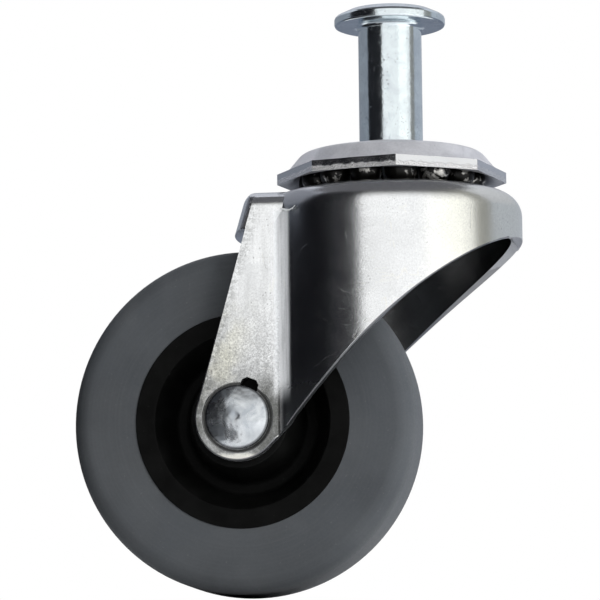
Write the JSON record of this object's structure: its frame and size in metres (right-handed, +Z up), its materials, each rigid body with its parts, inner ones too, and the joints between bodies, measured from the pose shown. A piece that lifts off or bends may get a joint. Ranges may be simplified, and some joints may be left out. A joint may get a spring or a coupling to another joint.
{
  "type": "castor wheel",
  "caption": "Swivel castor on a flanged stem: pressed plated steel fork over ball races, a riveted axle, and a black plastic hub with a grey rubber tyre.",
  "frame": {"origin": "on the swivel axis, in the plane of the seat at the foot of the stem's neck", "axes": "+Z up along the stem, the wheel trails towards -X at rest, the axle lies along Y"},
  "size_m": [0.0784, 0.0456, 0.103],
  "materials": {
    "stem_steel": "bright bluish zinc plating, turned",
    "race_steel": "satin zinc plating with sheared edges",
    "fork_steel": "bright zinc plating with a fine speckle",
    "rivet_steel": "bright zinc plating",
    "ball_steel": "steel under dark grease",
    "hub_plastic": "black, moulded, satin",
    "tyre_rubber": "grey, matte, non-marking"
  },
  "bodies": {
    "stem": {"stem": "stem_steel", "upper_race_plate": "race_steel", "lower_race_cup": "race_steel"},
    "fork": {"fork": "fork_steel", "axle_rivet": "rivet_steel", "axle_bush": "rivet_steel"},
    "wheel": {"hub": "hub_plastic", "tyre": "tyre_rubber"},
    "upper_balls": {"upper_ball_1": "ball_steel", "upper_ball_2": "ball_steel", "upper_ball_3": "ball_steel", "upper_ball_4": "ball_steel", "upper_ball_5": "ball_steel", "upper_ball_6": "ball_steel", "upper_ball_7": "ball_steel", "upper_ball_8": "ball_steel", "upper_ball_9": "ball_steel", "upper_ball_10": "ball_steel", "upper_ball_11": "ball_steel", "upper_ball_12": "ball_steel", "upper_ball_13": "ball_steel", "upper_ball_14": "ball_steel"},
    "lower_balls": {"lower_ball_1": "ball_steel", "lower_ball_2": "ball_steel", "lower_ball_3": "ball_steel", "lower_ball_4": "ball_steel", "lower_ball_5": "ball_steel", "lower_ball_6": "ball_steel", "lower_ball_7": "ball_steel", "lower_ball_8": "ball_steel", "lower_ball_9": "ball_steel", "lower_ball_10": "ball_steel", "lower_ball_11": "ball_steel", "lower_ball_12": "ball_steel", "lower_ball_13": "ball_steel"}
  },
  "joints": [
    {"name": "swivel", "type": "hinge", "parent": "stem", "child": "fork", "pos_m": [0, 0, 0], "axis": [0, 0, 1], "continuous": true},
    {"name": "wheel_spin", "type": "hinge", "parent": "fork", "child": "wheel", "pos_m": [-0.0256, 0, -0.0486], "axis": [0, 1, 0], "continuous": true},
    {"name": "upper_ball_orbit", "type": "hinge", "parent": "stem", "child": "upper_balls", "pos_m": [0, 0, -0.0062], "axis": [0, 0, 1], "continuous": true},
    {"name": "lower_ball_orbit", "type": "hinge", "parent": "stem", "child": "lower_balls", "pos_m": [0, 0, -0.01235], "axis": [0, 0, 1], "continuous": true}
  ],
  "couplings": [
    {"joint": "upper_ball_orbit", "follows": "swivel", "ratio": 0.5},
    {"joint": "lower_ball_orbit", "follows": "swivel", "ratio": 0.5}
  ]
}
